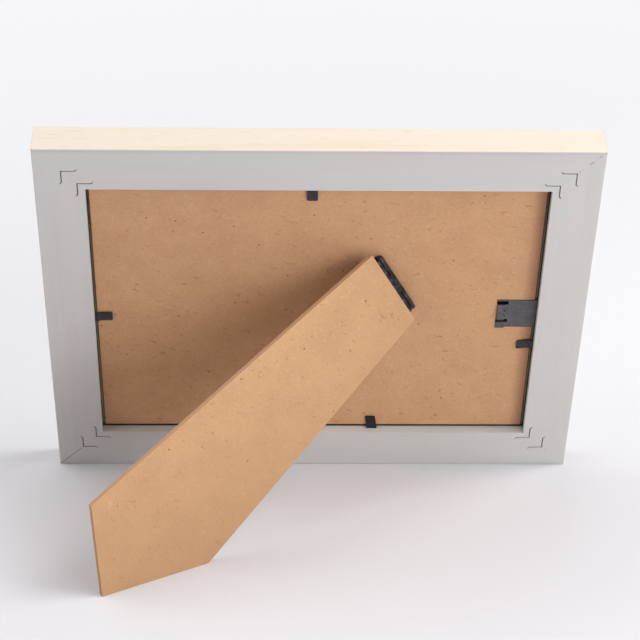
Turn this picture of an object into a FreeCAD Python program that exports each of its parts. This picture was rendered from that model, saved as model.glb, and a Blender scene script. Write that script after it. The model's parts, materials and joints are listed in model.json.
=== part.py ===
import FreeCAD, Part

import math
import os

import Sketcher

# Easel back photo frame for a 13 x 18 cm picture. Left and right are as seen from the front.
# The pieces are drawn upright: X to the right, Y to the back from the frame's back face, Z up
# from its lower edge. The whole frame is then leaned back onto its open strut, with +Z up and
# the origin on the table under the middle of the bounding box.

# Driving dimensions: alias, millimetres or degrees, meaning.
DIMENSIONS = (
    ("frame_width", 222.0, "outside width"),
    ("frame_height", 172.0, "outside height"),
    ("frame_depth", 15.0, "moulding, front to back"),
    ("moulding_width", 25.0, "moulding seen from the front"),
    ("back_width", 19.6, "moulding seen from the back, up to the rebate"),
    ("lip_thickness", 6.0, "front lip that the glazing lies on"),
    ("outer_round", 1.2, "rounding of the front's outer edge"),
    ("back_round", 0.5, "rounding of the back's outer edge"),
    ("sight_round", 0.8, "rounding of the front's inner edge"),
    ("glazing_thickness", 2.0, "glazing"),
    ("glazing_clearance", 0.5, "glazing to the rebate, each side"),
    ("card_thickness", 0.3, "picture card"),
    ("card_clearance", 1.0, "picture card to the rebate, each side"),
    ("board_thickness", 2.5, "backing board"),
    ("board_clearance", 0.8, "backing board to the rebate, each side"),
    ("fit_clearance", 0.05, "driven-in steel to the slot that it sits in"),
    ("overrun", 1.0, "how far a cut runs past the material"),
    ("outer_nail_inset", 10.65, "outer V-nail's corner from the outside edges"),
    ("inner_nail_inset", 16.65, "inner V-nail's corner from the outside edges"),
    ("nail_leg", 6.2, "V-nail, corner to end"),
    ("nail_curl", 0.7, "turned-out end of a V-nail"),
    ("nail_sheet", 0.35, "V-nail steel"),
    ("nail_depth", 7.0, "V-nail, length in the wood"),
    ("nail_sink", 0.2, "V-nail below the back face"),
    ("tab_width", 4.3, "retaining tab"),
    ("tab_sheet", 0.5, "retaining tab steel"),
    ("tab_embed", 6.0, "retaining tab, length in the rail"),
    ("tab_point", 2.0, "pointed end of a retaining tab"),
    ("tab_chamfer", 0.6, "cut corners of a retaining tab"),
    ("tab_rise", 1.2, "middle of a tab's root above the board"),
    ("tab_gap", 0.3, "tab's free end above the board"),
    ("bend_offset", 0.6, "tab's bend from the rebate wall"),
    ("bend_clearance", 0.2, "tab's blade to its root at the bend"),
    ("bend_land", 0.4, "straight part of a blade next to the bend"),
    ("bend_run", 1.4, "sloped part of a blade"),
    ("top_tab_place", -2.5, "tab's middle along its rail"),
    ("bottom_tab_place", -25.3, "tab's middle along its rail"),
    ("left_tab_place", 16.8, "tab's middle along its rail"),
    ("right_tab_place", -2.5, "tab's middle along its rail"),
    ("top_tab_reach", 7.8, "tab's end from the rebate wall"),
    ("bottom_tab_reach", 6.4, "tab's end from the rebate wall"),
    ("left_tab_reach", 6.9, "tab's end from the rebate wall"),
    ("right_tab_reach", 7.3, "tab's end from the rebate wall"),
    ("top_tab_skew", 0.0, "sideways shift of the tab's end"),
    ("bottom_tab_skew", 0.8, "sideways shift of the tab's end"),
    ("left_tab_skew", 0.95, "sideways shift of the tab's end"),
    ("right_tab_skew", 0.0, "sideways shift of the tab's end"),
    ("hinge_left", 32.5, "hinge's middle, left of the frame's middle"),
    ("hinge_up", 17.0, "hinge's middle, above the frame's middle"),
    ("hinge_tilt", 29.0, "hinge pin from the vertical, in degrees"),
    ("hinge_length", 30.0, "length of the knuckles together"),
    ("middle_knuckle", 9.8, "middle knuckle"),
    ("knuckle_shift", 1.0, "middle knuckle above the hinge's middle, along the pin"),
    ("knuckle_gap", 0.2, "between knuckles, along the pin"),
    ("hinge_sheet", 0.5, "hinge steel"),
    ("pin_radius", 0.65, "hinge pin"),
    ("pin_clearance", 0.05, "pin to knuckle, running fit"),
    ("pin_end", 0.4, "pin's plain end past its knuckle"),
    ("pin_bevel", 0.2, "bevel of the pin's plain end"),
    ("pin_head_radius", 1.0, "pin's head"),
    ("pin_head_height", 0.6, "pin's head"),
    ("pin_head_gap", 0.1, "pin's head to its knuckle"),
    ("barrel_lift", 0.3, "knuckles above the board"),
    ("leaf_clearance", 0.3, "a leaf's edge to the other leaf's knuckles"),
    ("board_leaf_length", 11.0, "hinge pin to the board leaf's far edge"),
    ("strut_leaf_length", 11.0, "hinge pin to the strut leaf's far edge"),
    ("leaf_chamfer", 2.5, "cut corners of the leaves"),
    ("gusset_run", 0.5, "board leaf's rise into its knuckles"),
    ("prong_width", 1.6, "prongs pressed out of the leaves"),
    ("near_prong", 5.2, "first prong from the hinge pin"),
    ("far_prong", 9.0, "second prong from the hinge pin"),
    ("board_prong_length", 2.1, "prong in the board"),
    ("strut_prong_length", 1.4, "prong in the strut"),
    ("heel_drop", 0.95, "stop heel's outer face below the pin's middle"),
    ("stop_gap", 0.05, "stop heel to the board when the strut is open"),
    ("strut_opening", 38.6, "open strut from the board, in degrees"),
    ("strut_thickness", 2.0, "strut"),
    ("strut_top_gap", 3.3, "hinge pin to the strut's top edge"),
    ("strut_length", 170.0, "strut's top edge to its tip"),
    ("strut_top_width", 38.7, "strut's top edge"),
    ("strut_taper", 4.65, "each side edge's slope, in degrees"),
    ("strut_shift", 1.6, "strut's middle line from the hinge's middle"),
    ("tip_shift", -1.4, "strut's tip from the hinge's middle"),
    ("hanger_up", -0.35, "hanger's middle, above the frame's middle"),
    ("hanger_length", 15.9, "hanger plate from the board's edge"),
    ("hanger_width", 14.2, "hanger plate"),
    ("hanger_sheet", 0.5, "hanger steel"),
    ("hanger_flange", 2.0, "hanger's turned-down edge beside the board"),
    ("hanger_slot_length", 4.8, "slots beside the hanger's tongue"),
    ("hanger_slot_width", 1.75, "slots beside the hanger's tongue"),
    ("hanger_upper_lug", 0.5, "lug above the tongue"),
    ("hanger_lower_lug", 2.25, "lug below the tongue"),
    ("hanger_flare", 0.9, "lower lug's spread end"),
    ("hanger_tongue_inset", 0.3, "tongue's end behind the lugs' ends"),
    ("hanger_step", 0.45, "tongue's rise"),
    ("hanger_land", 0.9, "flat start of the tongue"),
    ("hanger_ramp", 0.8, "tongue's ramp"),
    ("hanger_notch_height", 1.5, "slanting nail notch in the tongue"),
    ("hanger_notch_width", 0.45, "slanting nail notch in the tongue"),
    ("hanger_notch_slant", 0.9, "slanting nail notch in the tongue"),
    ("hanger_notch_spacing", 2.6, "between the nail notches"),
    ("hanger_notch_drop", 0.45, "nail notches below the tongue's middle"),
    ("hanger_prong_length", 2.1, "prongs bent into the board along the hanger's slots"),
)


def unit_vector(angle):
    """Direction at that angle from X towards Z, in degrees."""
    return FreeCAD.Vector(math.cos(math.radians(angle)), 0, math.sin(math.radians(angle)))


def strut_place(size, opening):
    """The hinge's own axes: X up the pin, Y down the strut, Z out of its outer face."""
    back = FreeCAD.Vector(0, 1, 0)
    pin = unit_vector(90 - size["hinge_tilt"])
    flat = unit_vector(-size["hinge_tilt"])
    turn = math.radians(opening)
    down = flat * math.cos(turn) + back * math.sin(turn)
    out = back * math.cos(turn) - flat * math.sin(turn)
    middle = FreeCAD.Vector(-size["hinge_left"], size["hinge_depth"], size["hinge_height"])
    return FreeCAD.Placement(middle, FreeCAD.Rotation(pin, down, out, "XYZ"))


def edge_lift(size, lean):
    """How far the frame's rounded back edge keeps its corner off the table."""
    return size["back_round"] * (math.cos(lean) + math.sin(lean) - 1)


def standing(rise, size, side):
    """How far a format leans back, and where the strut's side edge meets its table.

    rise(point) is the point's distance from the frame's side that stands on the table.
    """
    place = strut_place(size, size["strut_opening"])
    inner = size["barrel_radius"]
    round_off = size["back_round"]

    def on_face(corner, face):
        return place.multVec(FreeCAD.Vector(corner.x, corner.y, face))

    leans = []
    for face in (inner, inner + size["strut_thickness"]):
        tip = on_face(strut_tip(size), face)
        over = rise(tip) - round_off
        behind = tip.y + round_off
        lean = math.atan2(over, behind) + math.asin(round_off / math.hypot(over, behind))
        leans.append((lean, face))
    lean, face = min(leans)

    def height(corner):
        point = on_face(corner, face)
        return rise(point) * math.cos(lean) - point.y * math.sin(lean) - edge_lift(size, lean)

    first, last = side
    share = height(first) / (height(first) - height(last))
    return math.degrees(lean), first + (last - first) * share


def strut_tip(size):
    return FreeCAD.Vector(size["tip_shift"], size["strut_top_gap"] + size["strut_length"], 0)


def strut_side(size, sign):
    """A side edge of the strut, from its top corner to level with the tip."""
    slope = math.tan(math.radians(size["strut_taper"]))
    ends = []
    for along in (0, size["strut_length"]):
        half = size["strut_top_width"] / 2 + along * slope
        ends.append(FreeCAD.Vector(size["strut_shift"] + sign * half, size["strut_top_gap"] + along, 0))
    return ends


def add_derived(size):
    """Sizes that follow from the driving ones."""
    size["rebate_depth"] = size["frame_depth"] - size["lip_thickness"]
    pack = size["glazing_thickness"] + size["card_thickness"] + size["board_thickness"]
    size["recess"] = size["rebate_depth"] - pack
    for sheet in ("board", "card", "glazing"):
        margin = 2 * (size["back_width"] + size[sheet + "_clearance"])
        size[sheet + "_width"] = size["frame_width"] - margin
        size[sheet + "_height"] = size["frame_height"] - margin
    size["tab_drop"] = size["tab_rise"] - size["tab_sheet"] / 2 - size["tab_gap"]
    size["bore_radius"] = size["pin_radius"] + size["pin_clearance"]
    size["barrel_radius"] = size["bore_radius"] + size["hinge_sheet"]
    size["axis_height"] = size["barrel_radius"] + size["barrel_lift"]
    size["hinge_depth"] = size["axis_height"] - size["recess"]
    size["hinge_height"] = size["frame_height"] / 2 + size["hinge_up"]
    turn = math.radians(size["strut_opening"])
    heel_room = size["axis_height"] - size["stop_gap"] - size["heel_drop"] * math.cos(turn)
    size["heel_reach"] = heel_room / math.sin(turn)
    lean, foot = standing(lambda point: point.z, size, strut_side(size, -1))
    size["lean_back"] = lean
    size["low_foot_across"] = foot.x
    size["low_foot_along"] = foot.y
    side_edge = size["frame_width"] / 2
    lean, foot = standing(lambda point: side_edge - point.x, size, strut_side(size, 1))
    size["portrait_lean"] = lean
    size["side_foot_across"] = foot.x
    size["side_foot_along"] = foot.y


def write_sheet(doc, size, meanings):
    sheet = doc.addObject("Spreadsheet::Sheet", "sizes")
    for row, (name, value) in enumerate(size.items(), start=1):
        sheet.set("A%d" % row, name)
        sheet.set("B%d" % row, repr(value))
        sheet.setAlias("B%d" % row, name)
        sheet.set("C%d" % row, meanings.get(name, "follows from the others"))
    doc.recompute()


def new_body(doc, name):
    body = doc.addObject("PartDesign::Body", name)
    body.Label = name
    return body


def new_sketch(body, name, plane, outlines=(), circles=(), offset=()):
    """A sketch on one of the body's origin planes, with every corner and radius bound to the sheet.

    The lines start on a unit circle, and the constraints take their corners to their places.
    """
    sketch = body.newObject("Sketcher::SketchObject", name)
    support = [item for item in body.Origin.OriginFeatures if item.Role == plane][0]
    sketch.AttachmentSupport = [(support, "")]
    sketch.MapMode = "FlatFace"
    for path, rule in offset:
        sketch.setExpression("AttachmentOffset." + path, rule)
    for corners in outlines:
        count = len(corners)
        points = []
        for index in range(count):
            turned = unit_vector(360 * index / count)
            points.append(FreeCAD.Vector(turned.x, turned.z, 0))
        first = sketch.GeometryCount
        for index in range(count):
            sketch.addGeometry(Part.LineSegment(points[index], points[(index + 1) % count]), False)
        for index in range(count):
            after = first + (index + 1) % count
            sketch.addConstraint(Sketcher.Constraint("Coincident", first + index, 2, after, 1))
        for index, corner in enumerate(corners):
            for kind, start, rule in zip(("DistanceX", "DistanceY"), points[index], corner):
                distance = Sketcher.Constraint(kind, -1, 1, first + index, 1, start)
                number = sketch.addConstraint(distance)
                label = "%s%d" % (kind, first + index)
                sketch.renameConstraint(number, label)
                sketch.setExpression("Constraints." + label, rule)
    for rule in circles:
        middle = FreeCAD.Vector(0, 0, 0)
        circle = sketch.addGeometry(Part.Circle(middle, FreeCAD.Vector(0, 0, 1), 1), False)
        sketch.addConstraint(Sketcher.Constraint("Coincident", circle, 3, -1, 1))
        number = sketch.addConstraint(Sketcher.Constraint("Radius", circle, 1))
        label = "Radius%d" % circle
        sketch.renameConstraint(number, label)
        sketch.setExpression("Constraints." + label, rule)
    return sketch


def extrude(body, kind, name, sketch, length, reverse=False, both=False):
    """A Pad or Pocket of a sketch, by a length bound to the sheet."""
    feature = body.newObject("PartDesign::" + kind, name)
    feature.Profile = sketch
    feature.setExpression("Length", length)
    feature.Reversed = reverse
    if both:
        feature.SideType = "Symmetric"
    sketch.Visibility = False
    return feature


def dress(body, kind, name, base, picked, length):
    """A Fillet or Chamfer of the base feature's edges whose middles are picked."""
    body.Document.recompute()
    names = []
    for index, edge in enumerate(base.Shape.Edges, start=1):
        if picked(edge.CenterOfMass):
            names.append("Edge%d" % index)
    feature = body.newObject("PartDesign::" + kind, name)
    feature.Base = (base, names)
    feature.setExpression("Radius" if kind == "Fillet" else "Size", length)
    return feature


def box_corners(low_x, high_x, low_y, high_y):
    return [(low_x, low_y), (high_x, low_y), (high_x, high_y), (low_x, high_y)]


def nail_corners(across, up, mirror, grow):
    """A V-nail's outline with its corner at (across, up) and its legs along X and Y.

    grow widens it all round. With mirror -1 the first leg runs to the left.
    """
    leg = "(sizes.nail_leg + %s)" % grow
    curl = "(sizes.nail_curl + %s)" % grow
    sheet = "(sizes.nail_sheet + 2 * %s)" % grow
    turned = "%s * sin(45)" % sheet
    bevel = "%s * tan(22.5)" % sheet
    half = [
        ("0", "0"),
        ("%s - %s" % (leg, curl), "0"),
        (leg, "-" + curl),
        ("%s + %s" % (leg, turned), "%s - %s" % (turned, curl)),
        ("%s - %s + %s" % (leg, curl, bevel), sheet),
        (sheet, sheet),
    ]
    other = [(second, first) for first, second in reversed(half[1:-1])]
    corners = []
    for first, second in half + other:
        x = "%s + (%d) * (%s - %s)" % (across, mirror, first, grow)
        corners.append((x, "%s + %s - %s" % (up, second, grow)))
    return corners


def make_rail(doc, side, length):
    """A mitred moulding: X along it, Y to the back, Z inwards from the outside edge."""
    body = new_body(doc, side + "_rail")
    half = length + " / 2"
    wide = "sizes.moulding_width"
    plan = [("-" + half, "0"), (half, "0"), (half + " - " + wide, wide), ("-%s + %s" % (half, wide), wide)]
    blank = new_sketch(body, side + "_plan", "XZ_Plane", [plan])
    moulding = extrude(body, "Pad", side + "_moulding", blank, "sizes.frame_depth")
    step = box_corners("-" + half, half, "sizes.back_width", wide + " + sizes.overrun")
    rebate_plan = new_sketch(body, side + "_rebate_plan", "XZ_Plane", [step])
    rebate = extrude(body, "Pocket", side + "_rebate", rebate_plan, "sizes.rebate_depth", reverse=True)

    sheet = doc.getObject("sizes")
    doc.recompute()
    near = sheet.overrun / 100

    def edge_at(depth, inwards):
        def picked(middle):
            return abs(middle.y + depth) < near and abs(middle.z - inwards) < near
        return picked

    rounds = (
        ("outer", edge_at(sheet.frame_depth, 0)),
        ("sight", edge_at(sheet.frame_depth, sheet.moulding_width)),
        ("back", edge_at(0, 0)),
    )
    rounded = rebate
    for name, picked in rounds:
        title = "%s_%s_round" % (side, name)
        rounded = dress(body, "Fillet", title, rounded, picked, "sizes.%s_round" % name)

    outlines = []
    for inset in ("sizes.outer_nail_inset", "sizes.inner_nail_inset"):
        for mirror in (1, -1):
            corner = "(%d) * (%s - %s)" % (-mirror, half, inset)
            outlines.append(nail_corners(corner, inset, mirror, "sizes.fit_clearance"))
    slots = new_sketch(body, side + "_nail_slots_plan", "XZ_Plane", outlines)
    depth = "sizes.nail_sink + sizes.nail_depth + sizes.fit_clearance"
    extrude(body, "Pocket", side + "_nail_slots", slots, depth, reverse=True)

    place = "sizes.%s_tab_place" % side
    reach = "(sizes.tab_width / 2 + sizes.fit_clearance)"
    middle = "-sizes.recess + sizes.tab_rise"
    thick = "(sizes.tab_sheet / 2 + sizes.fit_clearance)"
    opening = box_corners(
        "%s - %s" % (place, reach), "%s + %s" % (place, reach),
        "%s - %s" % (middle, thick), "%s + %s" % (middle, thick))
    at_wall = [("Base.z", "sizes.back_width")]
    slot = new_sketch(body, side + "_tab_slot_plan", "XY_Plane", [opening], offset=at_wall)
    extrude(body, "Pocket", side + "_tab_slot", slot, "sizes.tab_embed + sizes.fit_clearance")
    return body


def make_nail(doc, name):
    """A V-nail, driven towards the front from the back face."""
    body = new_body(doc, name)
    plan = new_sketch(body, name + "_plan", "XZ_Plane", [nail_corners("0", "0", 1, "0")])
    extrude(body, "Pad", name + "_steel", plan, "sizes.nail_depth")
    return body


def make_sheet(doc, name, kind):
    """A flat rectangle that lies in the rebate, with its back face at Y 0."""
    body = new_body(doc, name)
    wide = "sizes.%s_width / 2" % kind
    high = "sizes.%s_height / 2" % kind
    plan = new_sketch(body, name + "_plan", "XZ_Plane", [box_corners("-" + wide, wide, "-" + high, high)])
    extrude(body, "Pad", name + "_sheet", plan, "sizes.%s_thickness" % kind)
    return body


def prong_slots(lengths):
    """Outlines of the slots for a leaf's prongs, with X along the pin and Y along the leaf."""
    outlines = []
    for mirror in (1, -1):
        edge = "(%d) * (sizes.hinge_length / 2 - sizes.hinge_sheet / 2)" % mirror
        thick = "(sizes.hinge_sheet / 2 + sizes.fit_clearance)"
        wide = "(sizes.prong_width / 2 + sizes.fit_clearance)"
        for middle in lengths:
            outlines.append(box_corners(
                "%s - %s" % (edge, thick), "%s + %s" % (edge, thick),
                "%s - %s" % (middle, wide), "%s + %s" % (middle, wide)))
    return outlines


def cut_board_slots(body):
    """Slots in the board for the prongs of the hinge and of the hanger."""
    hinge = [
        ("Base.x", "-sizes.hinge_left"),
        ("Base.y", "sizes.hinge_up"),
        ("Rotation.Angle", "90 - sizes.hinge_tilt"),
    ]
    outlines = prong_slots(["-sizes.near_prong", "-sizes.far_prong"])
    plan = new_sketch(body, "hinge_slots_plan", "XZ_Plane", outlines, offset=hinge)
    depth = "sizes.board_prong_length + sizes.fit_clearance"
    extrude(body, "Pocket", "hinge_slots", plan, depth, reverse=True)
    end = "(sizes.hanger_length - sizes.board_width / 2)"
    clear = "sizes.fit_clearance"
    outlines = []
    for low, high in (LOWER_HOLE, UPPER_HOLE):
        outlines.append(box_corners(
            "%s - sizes.hanger_slot_length" % end, "%s + %s" % (end, clear),
            "%s - %s" % (low, clear), "%s + %s" % (high, clear)))
    plan = new_sketch(body, "hanger_slots_plan", "XZ_Plane", outlines, offset=[("Base.y", "sizes.hanger_up")])
    depth = "sizes.hanger_prong_length + sizes.fit_clearance"
    extrude(body, "Pocket", "hanger_slots", plan, depth, reverse=True)


# Heights on the hanger, from its middle: low edge and high edge of its lugs, of its tongue, and
# of the holes in the board behind its slots.
LOWER_LUG = ("-sizes.hanger_width / 2", "-sizes.hanger_width / 2 + sizes.hanger_lower_lug")
UPPER_LUG = ("sizes.hanger_width / 2 - sizes.hanger_upper_lug", "sizes.hanger_width / 2")
TONGUE = (LOWER_LUG[1] + " + sizes.hanger_slot_width", UPPER_LUG[0] + " - sizes.hanger_slot_width")
LOWER_HOLE = (LOWER_LUG[1] + " - sizes.hanger_sheet", TONGUE[0])
UPPER_HOLE = (TONGUE[1], UPPER_LUG[0] + " + sizes.hanger_sheet")


def make_hanger(doc):
    """Stamped hanger: X inwards from the board's edge, Y out of the board, Z up."""
    body = new_body(doc, "hanger_plate")
    end = "sizes.hanger_length"
    root = "(%s - sizes.hanger_slot_length)" % end
    flare = "(%s - sizes.hanger_flare)" % LOWER_LUG[0]
    spread = "(%s - 2 * sizes.hanger_slot_width)" % end
    plan = [
        ("-sizes.hanger_sheet", LOWER_LUG[0]),
        ("%s - sizes.hanger_flare" % spread, LOWER_LUG[0]),
        (spread, flare),
        (end, flare),
        (end, LOWER_LUG[1]),
        (root, LOWER_LUG[1]),
        (root, UPPER_LUG[0]),
        (end, UPPER_LUG[0]),
        (end, UPPER_LUG[1]),
        ("-sizes.hanger_sheet", UPPER_LUG[1]),
    ]
    plate = new_sketch(body, "hanger_plan", "XZ_Plane", [plan])
    extrude(body, "Pad", "hanger_flat", plate, "sizes.hanger_sheet", reverse=True)
    edge = box_corners("-sizes.hanger_sheet", "0", LOWER_LUG[0], UPPER_LUG[1])
    flange = new_sketch(body, "hanger_flange_plan", "XZ_Plane", [edge])
    extrude(body, "Pad", "hanger_flange", flange, "sizes.hanger_flange")

    foot = "(%s + sizes.hanger_land)" % root
    top = "(%s + sizes.hanger_ramp)" % foot
    lip = "(%s - sizes.hanger_tongue_inset)" % end
    raised = "(sizes.hanger_step + sizes.hanger_sheet)"
    profile = [
        (root, "0"), (foot, "0"), (top, "sizes.hanger_step"), (lip, "sizes.hanger_step"),
        (lip, raised), (top, raised), (foot, "sizes.hanger_sheet"), (root, "sizes.hanger_sheet"),
    ]
    middle = "(%s + %s) / 2" % TONGUE
    tongue = new_sketch(body, "tongue_profile", "XY_Plane", [profile], offset=[("Base.z", middle)])
    extrude(body, "Pad", "tongue", tongue, "(%s) - (%s)" % (TONGUE[1], TONGUE[0]), both=True)

    notches = []
    for mirror in (1, -1):
        height = "%s - sizes.hanger_notch_drop + (%d) * sizes.hanger_notch_spacing / 2" % (middle, mirror)
        low = "%s - sizes.hanger_notch_height / 2" % height
        high = "%s + sizes.hanger_notch_height / 2" % height
        inner = foot + " + sizes.hanger_notch_slant"
        notches.append([
            (foot, low), (foot + " + sizes.hanger_notch_width", low),
            (inner + " + sizes.hanger_notch_width", high), (inner, high),
        ])
    slits = new_sketch(body, "notch_plan", "XZ_Plane", notches)
    extrude(body, "Pocket", "nail_notches", slits, "2 * " + raised, both=True)

    near = "(%s + sizes.fit_clearance)" % root
    point = "(%s + %s) / 2" % (near, end)
    shoulder = "-sizes.hanger_prong_length / 2"
    outline = [(near, "0"), (end, "0"), (end, shoulder), (point, "-sizes.hanger_prong_length"), (near, shoulder)]
    for name, low in (("lower", LOWER_HOLE[0]), ("upper", UPPER_LUG[0])):
        prong = new_sketch(body, name + "_prong_profile", "XY_Plane", [outline], offset=[("Base.z", low)])
        extrude(body, "Pad", name + "_prong", prong, "sizes.hanger_sheet")
    return body


def add_prongs(body, name, face, length, sign):
    """Pointed prongs at a leaf's two ends, out of its face at that height, up or down."""
    outlines = []
    for middle in ("sizes.near_prong", "sizes.far_prong"):
        wide = "sizes.prong_width / 2"
        shoulder = "%s + (%d) * %s / 2" % (face, sign, length)
        outlines.append([
            ("%s - %s" % (middle, wide), face),
            ("%s + %s" % (middle, wide), face),
            ("%s + %s" % (middle, wide), shoulder),
            (middle, "%s + (%d) * %s" % (face, sign, length)),
            ("%s - %s" % (middle, wide), shoulder),
        ])
    for label, mirror in (("upper", 1), ("lower", -1)):
        end = "(%d) * (sizes.hinge_length / 2 - sizes.hinge_sheet / 2)" % mirror
        title = "%s_%s_prongs" % (label, name)
        profile = new_sketch(body, title + "_profile", "YZ_Plane", outlines, offset=[("Base.z", end)])
        extrude(body, "Pad", title, profile, "sizes.hinge_sheet", both=True)


def add_leaf(body, name, start, end, low, high):
    """A leaf's flat: Y from start to end, with its far corners cut."""
    side = "sizes.hinge_length / 2"
    cut = "sizes.leaf_chamfer"
    plan = [
        ("-" + side, start), (side, start), (side, "%s - %s" % (end, cut)), ("%s - %s" % (side, cut), end),
        ("-%s + %s" % (side, cut), end), ("-" + side, "%s - %s" % (end, cut)),
    ]
    flat = new_sketch(body, name + "_plan", "XY_Plane", [plan], offset=[("Base.z", low)])
    extrude(body, "Pad", name + "_flat", flat, "%s - (%s)" % (high, low))


def make_board_leaf(doc):
    """Hinge leaf on the board: X up the pin, Y down the leaf, Z out of the board."""
    body = new_body(doc, "hinge_board_leaf")
    low = "-sizes.axis_height"
    high = "-sizes.axis_height + sizes.hinge_sheet"
    radius = "sizes.barrel_radius"
    add_leaf(body, "board_leaf", radius, "sizes.board_leaf_length", low, "(%s)" % high)
    barrel = new_sketch(body, "board_barrel_profile", "YZ_Plane", circles=[radius])
    extrude(body, "Pad", "board_barrel", barrel, "sizes.hinge_length", both=True)
    gusset = [
        (radius + " + sizes.gusset_run", low), (radius + " / 2", low), ("0", "-" + radius), ("0", "0"),
        (radius, "0"), (radius + " + sizes.gusset_run", high),
    ]
    rise = new_sketch(body, "gusset_profile", "YZ_Plane", [gusset])
    extrude(body, "Pad", "gusset", rise, "sizes.hinge_length", both=True)
    bore = new_sketch(body, "board_bore_profile", "YZ_Plane", circles=["sizes.bore_radius"])
    extrude(body, "Pocket", "board_bore", bore, "sizes.hinge_length + sizes.overrun", both=True)
    half = "(sizes.middle_knuckle / 2 + sizes.knuckle_gap)"
    gap = box_corners(
        "sizes.knuckle_shift - " + half, "sizes.knuckle_shift + " + half,
        "-%s - sizes.overrun" % radius, radius + " + sizes.leaf_clearance")
    window = new_sketch(body, "knuckle_window_plan", "XY_Plane", [gap])
    extrude(body, "Pocket", "knuckle_window", window, "2 * sizes.axis_height + sizes.overrun", both=True)
    add_prongs(body, "board", low, "sizes.board_prong_length", -1)
    return body


def make_strut_leaf(doc):
    """Hinge leaf on the strut: X up the pin, Y down the strut, Z out of its outer face."""
    body = new_body(doc, "hinge_strut_leaf")
    radius = "sizes.barrel_radius"
    low = radius + " - sizes.hinge_sheet"
    edge = radius + " + sizes.leaf_clearance"
    add_leaf(body, "strut_leaf", edge, "sizes.strut_leaf_length", low, radius)
    at_knuckle = [("Base.z", "sizes.knuckle_shift")]
    barrel = new_sketch(body, "strut_barrel_profile", "YZ_Plane", circles=[radius], offset=at_knuckle)
    extrude(body, "Pad", "strut_barrel", barrel, "sizes.middle_knuckle", both=True)
    tangent = box_corners("0", edge, low, radius)
    heel = box_corners("-sizes.heel_reach", "0", "-sizes.heel_drop", "-sizes.heel_drop + sizes.hinge_sheet")
    for name, outline in (("tangent", tangent), ("stop_heel", heel)):
        profile = new_sketch(body, name + "_profile", "YZ_Plane", [outline], offset=at_knuckle)
        extrude(body, "Pad", name, profile, "sizes.middle_knuckle", both=True)
    bore = new_sketch(body, "strut_bore_profile", "YZ_Plane", circles=["sizes.bore_radius"])
    extrude(body, "Pocket", "strut_bore", bore, "sizes.hinge_length", both=True)
    add_prongs(body, "strut", radius, "sizes.strut_prong_length", 1)
    return body


def make_pin(doc):
    """Hinge pin along X, turned, with its head at the upper end."""
    body = new_body(doc, "hinge_pin")
    plain = "(-sizes.hinge_length / 2 - sizes.pin_end)"
    seat = "(sizes.hinge_length / 2 + sizes.pin_head_gap)"
    top = "(%s + sizes.pin_head_height)" % seat
    dome = "sizes.pin_head_height / 2"
    profile = [
        (plain, "0"),
        (plain, "sizes.pin_radius - sizes.pin_bevel"),
        (plain + " + sizes.pin_bevel", "sizes.pin_radius"),
        (seat, "sizes.pin_radius"),
        (seat, "sizes.pin_head_radius"),
        ("%s - %s" % (top, dome), "sizes.pin_head_radius"),
        (top, "sizes.pin_head_radius - " + dome),
        (top, "0"),
    ]
    half = new_sketch(body, "pin_profile", "XY_Plane", [profile])
    turned = body.newObject("PartDesign::Revolution", "pin_turning")
    turned.Profile = half
    turned.ReferenceAxis = (half, ["H_Axis"])
    half.Visibility = False
    return body


def make_strut(doc):
    """Strut: X up the hinge pin, Y down the strut, Z out of its outer face."""
    body = new_body(doc, "strut")
    half = "sizes.strut_top_width / 2"
    top = "sizes.strut_top_gap"
    plan = [
        ("sizes.strut_shift - " + half, top),
        ("sizes.low_foot_across", "sizes.low_foot_along"),
        ("sizes.tip_shift", "sizes.strut_top_gap + sizes.strut_length"),
        ("sizes.side_foot_across", "sizes.side_foot_along"),
        ("sizes.strut_shift + " + half, top),
    ]
    seat = [("Base.z", "sizes.barrel_radius")]
    outline = new_sketch(body, "strut_plan", "XY_Plane", [plan], offset=seat)
    extrude(body, "Pad", "strut_board", outline, "sizes.strut_thickness")
    outlines = prong_slots(["sizes.near_prong", "sizes.far_prong"])
    slots = new_sketch(body, "strut_slots_plan", "XY_Plane", outlines, offset=seat)
    depth = "sizes.strut_prong_length + sizes.fit_clearance"
    extrude(body, "Pocket", "strut_slots", slots, depth, reverse=True)
    return body


def make_tab_root(doc, side):
    """Driven part of a retaining tab: X along the rail, Z inwards from the bend."""
    name = side + "_tab_root"
    body = new_body(doc, name)
    half = "sizes.tab_width / 2"
    inner = "(-sizes.bend_offset - sizes.tab_embed)"
    plan = [
        ("-" + half, "0"), (half, "0"), (half, inner + " + sizes.tab_point"), ("0", inner),
        ("-" + half, inner + " + sizes.tab_point"),
    ]
    middle = [("Base.z", "-sizes.tab_sheet / 2")]
    strip = new_sketch(body, name + "_plan", "XZ_Plane", [plan], offset=middle)
    extrude(body, "Pad", name + "_strip", strip, "sizes.tab_sheet")
    bend = new_sketch(body, name + "_bend_profile", "YZ_Plane", circles=["sizes.tab_sheet / 2"])
    extrude(body, "Pad", name + "_bend", bend, "sizes.tab_width", both=True)
    return body


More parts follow.
